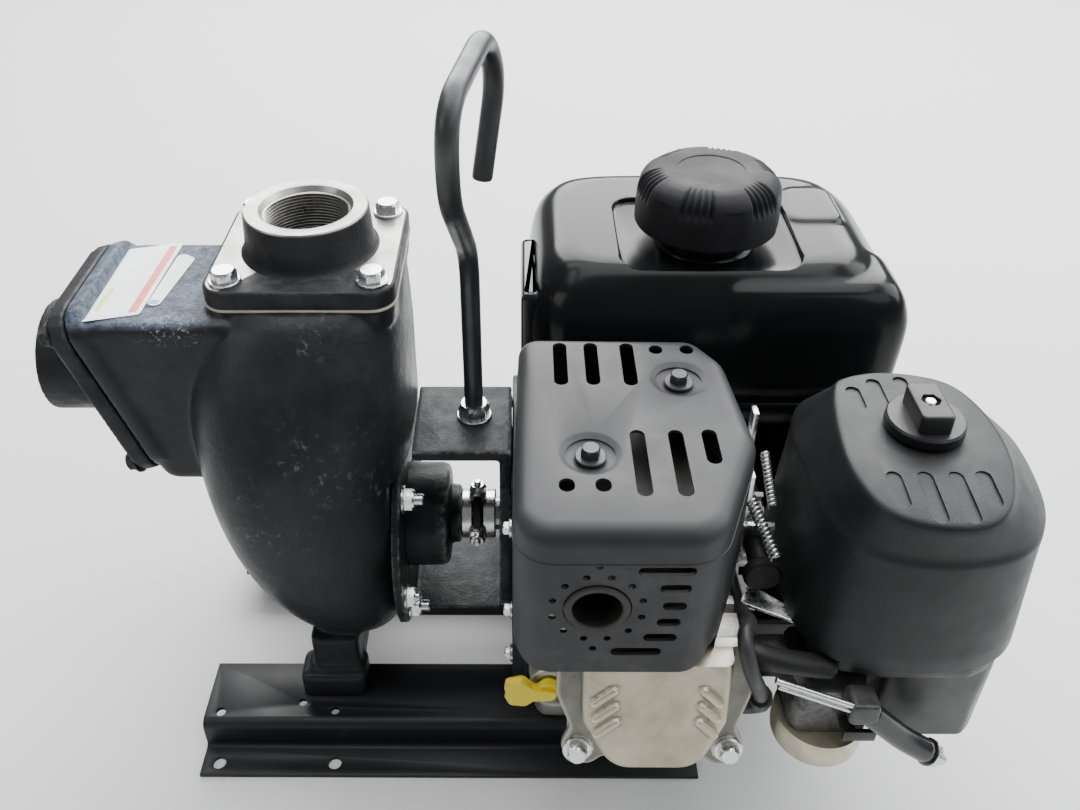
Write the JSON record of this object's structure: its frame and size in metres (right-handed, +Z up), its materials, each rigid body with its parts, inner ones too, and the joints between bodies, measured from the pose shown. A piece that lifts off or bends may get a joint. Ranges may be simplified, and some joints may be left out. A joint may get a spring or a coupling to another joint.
{
  "type": "portable fire pump",
  "caption": "Self-priming iron pump with threaded suction and discharge ports, close-coupled to a small air-cooled petrol engine on two folded steel rails with a lifting handle.",
  "frame": {"origin": "on the floor, under the middle of the pump's bounding box", "axes": "+X from the suction port towards the starter end of the engine, +Y away from the exhaust side, +Z up"},
  "size_m": [0.596, 0.3738, 0.4894],
  "materials": {
    "rail_paint": "satin charcoal powder coat",
    "pump_paint": "satin black paint on rough casting",
    "bracket_paint": "semi-gloss black paint on casting",
    "zinc": "bright zinc plate",
    "steel": "turned steel",
    "handle_steel": "dark bare steel rod",
    "aluminium": "as-cast aluminium",
    "bronze": "cast bronze",
    "gasket": "fibre gasket sheet",
    "shield": "fine-textured dark grey heat shield",
    "soot": "heat-darkened steel",
    "tank_gloss": "gloss black",
    "plastic": "fine-pebbled black plastic",
    "rubber": "black rubber",
    "yellow": "yellow plastic",
    "cream": "yellow-passivated metal",
    "foam": "open-cell filter foam",
    "ceramic": "glazed white insulator"
  },
  "bodies": {
    "frame": {"front_rail": "rail_paint", "rear_rail": "rail_paint", "pump_casing": "pump_paint", "discharge_bolt_1": "zinc", "discharge_bolt_2": "zinc", "discharge_bolt_3": "zinc", "discharge_bolt_4": "zinc", "discharge_flange": "pump_paint", "discharge_gasket": "gasket", "suction_flange": "pump_paint", "bearing_housing": "bracket_paint", "adapter_bracket": "bracket_paint", "bracket_nut_upper": "zinc", "bracket_nut_lower": "zinc", "lifting_handle": "handle_steel", "handle_nut": "zinc", "crankcase_cover": "bracket_paint", "crankcase": "aluminium", "cylinder_head": "aluminium", "valve_cover": "aluminium", "valve_cover_bolt_left": "zinc", "valve_cover_bolt_right": "zinc", "muffler_guard": "shield", "muffler_body": "soot", "exhaust_outlet": "soot", "guard_bolt_rear": "zinc", "guard_bolt_front": "zinc", "fuel_tank": "tank_gloss", "fuel_filler_neck": "tank_gloss", "fuel_tank_base": "tank_gloss", "air_cleaner_stud": "zinc", "air_cleaner_base": "plastic", "air_filter_element": "foam", "carburettor_body": "aluminium", "float_bowl": "cream", "blower_housing": "plastic", "recoil_starter_housing": "plastic", "control_bracket": "zinc", "spark_plug": "ceramic", "spark_plug_boot": "rubber", "ignition_lead": "rubber", "breather_hose": "rubber"},
    "rotor": {"impeller": "bronze", "pump_shaft": "steel", "coupling_hub_pump": "zinc", "coupling_disc": "zinc", "coupling_hub_engine": "zinc", "crankshaft": "steel", "flywheel": "aluminium"},
    "flap": {"suction_flap": "rubber"},
    "cap_seal": {"fuel_cap_gasket": "rubber"},
    "cap": {"fuel_cap": "plastic"},
    "filter_cover": {"air_cleaner_cover": "plastic"},
    "filter_knob": {"air_cleaner_knob": "plastic"},
    "throttle": {"throttle_lever": "zinc"},
    "choke": {"choke_lever": "plastic"},
    "fuel_valve": {"fuel_valve_lever": "plastic"},
    "switch": {"stop_switch": "plastic"},
    "grip": {"starter_grip": "rubber"},
    "dipstick": {"oil_dipstick": "yellow"}
  },
  "joints": [
    {"name": "rotor_spin", "type": "hinge", "parent": "frame", "child": "rotor", "pos_m": [-0.014, 0.0299, 0.137], "axis": [1, 0, 0], "continuous": true},
    {"name": "suction_flap_swing", "type": "hinge", "parent": "frame", "child": "flap", "pos_m": [-0.2551, 0.0499, 0.3033], "axis": [0, -1, 0], "range_deg": [0, 35]},
    {"name": "fuel_cap_lift", "type": "slide", "parent": "frame", "child": "cap_seal", "axis": [0, 0, 1], "range_m": [0, 0.06]},
    {"name": "fuel_cap_turn", "type": "hinge", "parent": "cap_seal", "child": "cap", "pos_m": [0.135, 0.0819, 0.37], "axis": [0, 0, 1], "range_deg": [0, 90]},
    {"name": "air_cleaner_cover_lift", "type": "slide", "parent": "frame", "child": "filter_cover", "axis": [0, 0, 1], "range_m": [0, 0.12]},
    {"name": "air_cleaner_knob_turn", "type": "hinge", "parent": "filter_cover", "child": "filter_knob", "pos_m": [0.226, -0.0941, 0.326], "axis": [0, 0, 1], "range_deg": [0, 720]},
    {"name": "throttle_swing", "type": "hinge", "parent": "frame", "child": "throttle", "pos_m": [0.148, -0.0501, 0.25], "axis": [1, 0, 0], "range_deg": [-20, 20]},
    {"name": "choke_swing", "type": "hinge", "parent": "frame", "child": "choke", "pos_m": [0.196, -0.1671, 0.166], "axis": [0, 1, 0], "range_deg": [0, 60]},
    {"name": "fuel_valve_swing", "type": "hinge", "parent": "frame", "child": "fuel_valve", "pos_m": [0.186, -0.1101, 0.168], "axis": [0, 1, 0], "range_deg": [0, 90]},
    {"name": "stop_switch_press", "type": "slide", "parent": "frame", "child": "switch", "axis": [0, 1, 0], "range_m": [0, 0.003], "stiffness_N_per_m": 400, "springref_m": -0.002},
    {"name": "starter_pull", "type": "slide", "parent": "frame", "child": "grip", "axis": [0, 1, 0], "range_m": [0, 0.5]},
    {"name": "dipstick_turn", "type": "hinge", "parent": "frame", "child": "dipstick", "pos_m": [0.033, -0.0861, 0.088], "axis": [0, -1, 0], "range_deg": [0, 720]}
  ]
}
